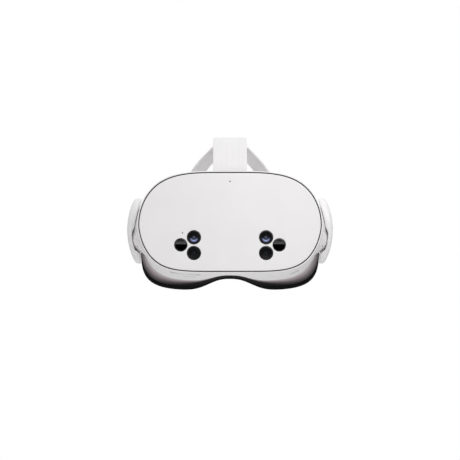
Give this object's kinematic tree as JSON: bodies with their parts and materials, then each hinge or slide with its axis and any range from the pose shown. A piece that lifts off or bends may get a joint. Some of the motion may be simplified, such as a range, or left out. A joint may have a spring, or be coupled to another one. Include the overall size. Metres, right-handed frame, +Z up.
{
  "type": "vr headset",
  "caption": "Stand-alone virtual-reality headset: curved white visor with tracking cameras, slide-adjusted lenses, pull-off face cushion and tilting side arms with a fabric head strap.",
  "frame": {"origin": "on the middle plane, level with the arm pivots, where the wearer's forehead meets the face cushion", "axes": "+X towards the wearer's left, +Y towards the back of the head, +Z up; the front plate faces -Y"},
  "size_m": [0.1908, 0.275, 0.1476],
  "materials": {
    "shell_white": "fine matt moulded polycarbonate",
    "button_white": "satin",
    "seam_black": "matt",
    "shroud_grey": "satin soft-touch",
    "foam_black": "brushed knit over foam",
    "window_glass": "polished, infrared-dark",
    "lens_glass": "polished",
    "black_plastic": "fine texture",
    "strap_fabric": "woven elastic webbing",
    "steel": "turned",
    "aluminium": "anodised",
    "board_green": "solder mask",
    "battery_wrap": "shrink film",
    "acetal": "smooth",
    "led_lens": "frosted"
  },
  "bodies": {
    "headset": {"front_plate": "shell_white", "seam_gasket": "seam_black", "main_housing": "shell_white", "strap_anchor": "shell_white", "lens_bezel": "black_plastic", "optics_chassis": "black_plastic", "display_panel": "window_glass", "main_board": "board_green", "heat_sink": "aluminium", "fan_housing": "black_plastic", "battery": "battery_wrap", "status_led": "led_lens", "usb_port": "steel", "top_strap": "strap_fabric", "upper_guide_rod": "steel", "lower_guide_rod": "steel", "bezel_screw_1": "steel", "bezel_screw_2": "steel", "bezel_screw_3": "steel", "bezel_screw_4": "steel", "left_sensor_carrier": "black_plastic", "left_pivot_pin": "steel", "left_upper_window": "window_glass", "left_upper_camera": "black_plastic", "left_outer_window": "window_glass", "left_lower_window": "window_glass", "left_lower_camera": "black_plastic", "right_sensor_carrier": "black_plastic", "right_pivot_pin": "steel", "right_upper_window": "window_glass", "right_upper_camera": "black_plastic", "right_outer_window": "window_glass", "right_lower_window": "window_glass", "right_lower_camera": "black_plastic"},
    "fan_rotor": {"fan_rotor": "black_plastic"},
    "left_lens_carriage": {"left_lens_barrel": "black_plastic", "left_lens": "lens_glass", "left_rack": "acetal"},
    "right_lens_carriage": {"right_lens_barrel": "black_plastic", "right_lens": "lens_glass", "right_rack": "acetal"},
    "sync_pinion": {"sync_pinion": "acetal"},
    "face_interface": {"face_frame": "shroud_grey", "face_cushion": "foam_black"},
    "volume_rocker": {"volume_rocker": "button_white"},
    "action_button": {"action_button": "button_white"},
    "power_button": {"power_button": "button_white"},
    "left_arm": {"left_arm_shell": "shell_white", "left_arm_cover": "shell_white", "left_speaker": "black_plastic", "rear_band": "strap_fabric", "crown_gusset": "strap_fabric", "left_branch_strap": "strap_fabric", "right_branch_strap": "strap_fabric"},
    "right_arm": {"right_arm_shell": "shell_white", "right_arm_cover": "shell_white", "right_speaker": "black_plastic"},
    "left_slider": {"left_strap_slider": "shell_white"},
    "right_slider": {"right_strap_slider": "shell_white"}
  },
  "joints": [
    {"name": "left_arm_tilt", "type": "hinge", "parent": "headset", "child": "left_arm", "pos_m": [0.088, -0.036, -0.001], "axis": [1, 0, 0], "range_deg": [-10, 20], "deforming": ["top_strap"]},
    {"name": "right_arm_tilt", "type": "hinge", "parent": "headset", "child": "right_arm", "pos_m": [-0.088, -0.036, -0.001], "axis": [1, 0, 0], "range_deg": [-10, 20]},
    {"name": "left_slider_slide", "type": "slide", "parent": "left_arm", "child": "left_slider", "axis": [-0.2186, 0.9684, -0.1199], "range_m": [-0.008, 0.008], "deforming": ["left_branch_strap"]},
    {"name": "right_slider_slide", "type": "slide", "parent": "left_arm", "child": "right_slider", "axis": [0.2186, 0.9684, -0.1199], "range_m": [-0.008, 0.008], "deforming": ["right_branch_strap"]},
    {"name": "face_release", "type": "slide", "parent": "headset", "child": "face_interface", "axis": [0, 1, 0], "range_m": [0, 0.03]},
    {"name": "left_lens_slide", "type": "slide", "parent": "headset", "child": "left_lens_carriage", "axis": [1, 0, 0], "range_m": [-0.0025, 0.0025]},
    {"name": "right_lens_slide", "type": "slide", "parent": "headset", "child": "right_lens_carriage", "axis": [1, 0, 0], "range_m": [-0.0025, 0.0025]},
    {"name": "pinion_turn", "type": "hinge", "parent": "headset", "child": "sync_pinion", "pos_m": [0, -0.045, -0.029], "axis": [0, 1, 0], "range_deg": [-35.81, 35.81]},
    {"name": "fan_spin", "type": "hinge", "parent": "headset", "child": "fan_rotor", "pos_m": [0, -0.07, -0.008], "axis": [0, 1, 0], "continuous": true},
    {"name": "volume_rock", "type": "hinge", "parent": "headset", "child": "volume_rocker", "pos_m": [-0.0413, -0.056, -0.0392], "axis": [0, 1, 0], "range_deg": [-2, 2], "stiffness_Nm_per_rad": 0.05},
    {"name": "action_press", "type": "slide", "parent": "headset", "child": "action_button", "axis": [0, 0, 1], "range_m": [0, 0.0005], "stiffness_N_per_m": 1500, "springref_m": -0.0006},
    {"name": "power_press", "type": "slide", "parent": "headset", "child": "power_button", "axis": [0, 0, -1], "range_m": [0, 0.0005], "stiffness_N_per_m": 1500, "springref_m": -0.0006}
  ],
  "couplings": [
    {"joint": "right_arm_tilt", "follows": "left_arm_tilt", "ratio": 1},
    {"joint": "right_lens_slide", "follows": "left_lens_slide", "ratio": -1},
    {"joint": "pinion_turn", "follows": "left_lens_slide", "rad_per_m": 250}
  ]
}
